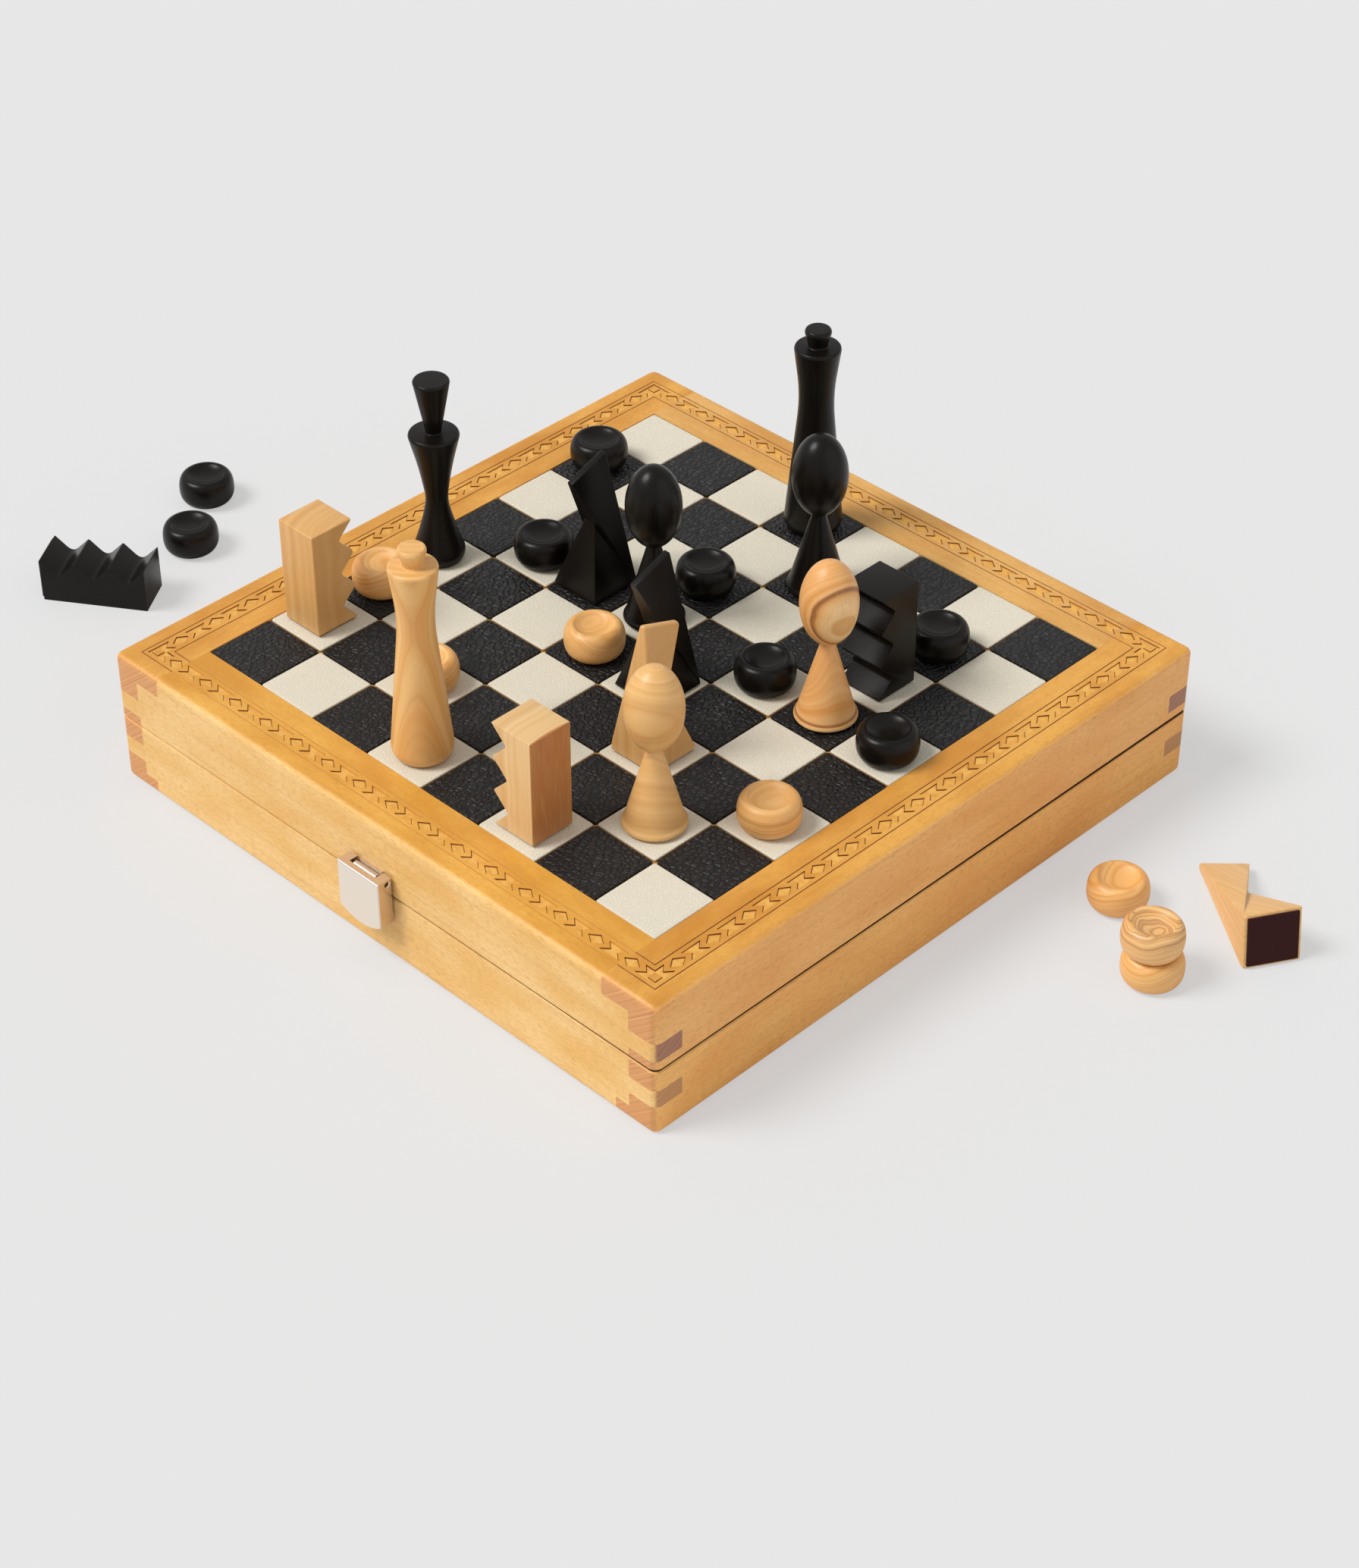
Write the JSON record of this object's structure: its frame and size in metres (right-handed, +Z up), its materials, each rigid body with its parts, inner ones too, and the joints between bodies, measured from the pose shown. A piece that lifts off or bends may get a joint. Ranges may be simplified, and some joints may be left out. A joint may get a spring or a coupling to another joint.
{
  "type": "travel chess and backgammon set",
  "caption": "Hinged wooden game box with a leather chessboard on its lid, backgammon points inside, a front latch, and turned and sawn chess pieces with men.",
  "frame": {"origin": "middle of the closed case's bottom face", "axes": "+X along the latch side, to the right seen from the latch; +Y from the latch to the hinges; +Z up"},
  "size_m": [0.4956, 0.2816, 0.138],
  "materials": {
    "honey_wood": "satin",
    "panel_wood": "satin",
    "black_wood": "satin",
    "light_wood": "satin",
    "black_leather": "grained",
    "cream_leather": "grained",
    "nickel": "satin",
    "dice_plastic": "polished"
  },
  "bodies": {
    "case": {"case_front_wall": "honey_wood", "case_back_wall": "honey_wood", "case_left_wall": "honey_wood", "case_right_wall": "honey_wood", "floor_panel": "panel_wood", "case_dark_points": "black_leather", "case_light_points": "cream_leather", "hinge_case_leaves": "nickel", "hinge_pins": "nickel", "latch_keeper": "nickel", "case_screws": "nickel"},
    "lid": {"lid_front_wall": "honey_wood", "lid_back_wall": "honey_wood", "lid_left_wall": "honey_wood", "lid_right_wall": "honey_wood", "board_panel": "panel_wood", "dark_squares": "black_leather", "light_squares": "cream_leather", "lid_dark_points": "black_leather", "lid_light_points": "cream_leather", "hinge_lid_leaves": "nickel", "latch_plate": "nickel", "latch_pin": "nickel", "lid_screws": "nickel"},
    "latch": {"latch_flap": "nickel"},
    "black_king": {"black_king": "black_wood"},
    "black_queen": {"black_queen": "black_wood"},
    "black_bishop_1": {"black_bishop_1": "black_wood"},
    "black_bishop_2": {"black_bishop_2": "black_wood"},
    "black_knight_1": {"black_knight_1": "black_wood"},
    "black_knight_2": {"black_knight_2": "black_wood"},
    "black_rook_1": {"black_rook_1": "black_wood"},
    "black_rook_2": {"black_rook_2": "black_wood"},
    "black_disc_1": {"black_disc_1": "black_wood"},
    "black_disc_2": {"black_disc_2": "black_wood"},
    "black_disc_3": {"black_disc_3": "black_wood"},
    "black_disc_4": {"black_disc_4": "black_wood"},
    "black_disc_5": {"black_disc_5": "black_wood"},
    "black_disc_6": {"black_disc_6": "black_wood"},
    "black_disc_7": {"black_disc_7": "black_wood"},
    "black_disc_8": {"black_disc_8": "black_wood"},
    "light_king": {"light_king": "light_wood"},
    "light_queen": {"light_queen": "light_wood"},
    "light_bishop_1": {"light_bishop_1": "light_wood"},
    "light_bishop_2": {"light_bishop_2": "light_wood"},
    "light_knight_1": {"light_knight_1": "light_wood"},
    "light_knight_2": {"light_knight_2": "light_wood"},
    "light_rook_1": {"light_rook_1": "light_wood"},
    "light_rook_2": {"light_rook_2": "light_wood"},
    "light_disc_1": {"light_disc_1": "light_wood"},
    "light_disc_2": {"light_disc_2": "light_wood"},
    "light_disc_3": {"light_disc_3": "light_wood"},
    "light_disc_4": {"light_disc_4": "light_wood"},
    "light_disc_5": {"light_disc_5": "light_wood"},
    "light_disc_6": {"light_disc_6": "light_wood"},
    "light_disc_7": {"light_disc_7": "light_wood"},
    "stored_light_discs": {"stored_light_discs": "light_wood"},
    "stored_dark_discs": {"stored_dark_discs": "black_wood"},
    "dice": {"dice": "dice_plastic"}
  },
  "joints": [
    {"name": "lid_hinge", "type": "hinge", "parent": "case", "child": "lid", "pos_m": [0, 0.1374, 0.027], "axis": [-1, 0, 0], "range_deg": [0, 180]},
    {"name": "latch_hinge", "type": "hinge", "parent": "lid", "child": "latch", "pos_m": [0.0017, -0.1378, 0.03449], "axis": [-1, 0, 0], "range_deg": [0, 90]},
    {"name": "black_king_lift", "type": "slide", "parent": "lid", "child": "black_king", "axis": [0, 0, 1], "range_m": [0, 0.1]},
    {"name": "black_queen_lift", "type": "slide", "parent": "lid", "child": "black_queen", "axis": [0, 0, 1], "range_m": [0, 0.1]},
    {"name": "black_bishop_1_lift", "type": "slide", "parent": "lid", "child": "black_bishop_1", "axis": [0, 0, 1], "range_m": [0, 0.1]},
    {"name": "black_bishop_2_lift", "type": "slide", "parent": "lid", "child": "black_bishop_2", "axis": [0, 0, 1], "range_m": [0, 0.1]},
    {"name": "black_knight_1_lift", "type": "slide", "parent": "lid", "child": "black_knight_1", "axis": [0, 0, 1], "range_m": [0, 0.1]},
    {"name": "black_knight_2_lift", "type": "slide", "parent": "lid", "child": "black_knight_2", "axis": [0, 0, 1], "range_m": [0, 0.1]},
    {"name": "black_rook_1_lift", "type": "slide", "parent": "lid", "child": "black_rook_1", "axis": [0, 0, 1], "range_m": [0, 0.1]},
    {"name": "black_rook_2_lift", "type": "slide", "parent": "case", "child": "black_rook_2", "axis": [0, 0, 1], "range_m": [0, 0.1]},
    {"name": "black_disc_1_lift", "type": "slide", "parent": "lid", "child": "black_disc_1", "axis": [0, 0, 1], "range_m": [0, 0.1]},
    {"name": "black_disc_2_lift", "type": "slide", "parent": "lid", "child": "black_disc_2", "axis": [0, 0, 1], "range_m": [0, 0.1]},
    {"name": "black_disc_3_lift", "type": "slide", "parent": "lid", "child": "black_disc_3", "axis": [0, 0, 1], "range_m": [0, 0.1]},
    {"name": "black_disc_4_lift", "type": "slide", "parent": "lid", "child": "black_disc_4", "axis": [0, 0, 1], "range_m": [0, 0.1]},
    {"name": "black_disc_5_lift", "type": "slide", "parent": "lid", "child": "black_disc_5", "axis": [0, 0, 1], "range_m": [0, 0.1]},
    {"name": "black_disc_6_lift", "type": "slide", "parent": "lid", "child": "black_disc_6", "axis": [0, 0, 1], "range_m": [0, 0.1]},
    {"name": "black_disc_7_lift", "type": "slide", "parent": "case", "child": "black_disc_7", "axis": [0, 0, 1], "range_m": [0, 0.1]},
    {"name": "black_disc_8_lift", "type": "slide", "parent": "case", "child": "black_disc_8", "axis": [0, 0, 1], "range_m": [0, 0.1]},
    {"name": "light_king_lift", "type": "slide", "parent": "lid", "child": "light_king", "axis": [0, 0, 1], "range_m": [0, 0.1]},
    {"name": "light_queen_lift", "type": "slide", "parent": "case", "child": "light_queen", "axis": [0, 0, 1], "range_m": [0, 0.018]},
    {"name": "light_bishop_1_lift", "type": "slide", "parent": "lid", "child": "light_bishop_1", "axis": [0, 0, 1], "range_m": [0, 0.1]},
    {"name": "light_bishop_2_lift", "type": "slide", "parent": "lid", "child": "light_bishop_2", "axis": [0, 0, 1], "range_m": [0, 0.1]},
    {"name": "light_knight_1_lift", "type": "slide", "parent": "lid", "child": "light_knight_1", "axis": [0, 0, 1], "range_m": [0, 0.1]},
    {"name": "light_knight_2_lift", "type": "slide", "parent": "case", "child": "light_knight_2", "axis": [0, 0, 1], "range_m": [0, 0.1]},
    {"name": "light_rook_1_lift", "type": "slide", "parent": "lid", "child": "light_rook_1", "axis": [0, 0, 1], "range_m": [0, 0.1]},
    {"name": "light_rook_2_lift", "type": "slide", "parent": "lid", "child": "light_rook_2", "axis": [0, 0, 1], "range_m": [0, 0.1]},
    {"name": "light_disc_1_lift", "type": "slide", "parent": "lid", "child": "light_disc_1", "axis": [0, 0, 1], "range_m": [0, 0.1]},
    {"name": "light_disc_2_lift", "type": "slide", "parent": "lid", "child": "light_disc_2", "axis": [0, 0, 1], "range_m": [0, 0.1]},
    {"name": "light_disc_3_lift", "type": "slide", "parent": "lid", "child": "light_disc_3", "axis": [0, 0, 1], "range_m": [0, 0.1]},
    {"name": "light_disc_4_lift", "type": "slide", "parent": "lid", "child": "light_disc_4", "axis": [0, 0, 1], "range_m": [0, 0.1]},
    {"name": "light_disc_5_lift", "type": "slide", "parent": "case", "child": "light_disc_5", "axis": [0, 0, 1], "range_m": [0, 0.1]},
    {"name": "light_disc_6_lift", "type": "slide", "parent": "case", "child": "light_disc_6", "axis": [0, 0, 1], "range_m": [0, 0.1]},
    {"name": "light_disc_7_lift", "type": "slide", "parent": "light_disc_6", "child": "light_disc_7", "axis": [0, 0, 1], "range_m": [0, 0.1]},
    {"name": "stored_light_discs_lift", "type": "slide", "parent": "case", "child": "stored_light_discs", "axis": [0, 0, 1], "range_m": [0, 0.018]},
    {"name": "stored_dark_discs_lift", "type": "slide", "parent": "case", "child": "stored_dark_discs", "axis": [0, 0, 1], "range_m": [0, 0.018]},
    {"name": "dice_lift", "type": "slide", "parent": "case", "child": "dice", "axis": [0, 0, 1], "range_m": [0, 0.018]}
  ]
}
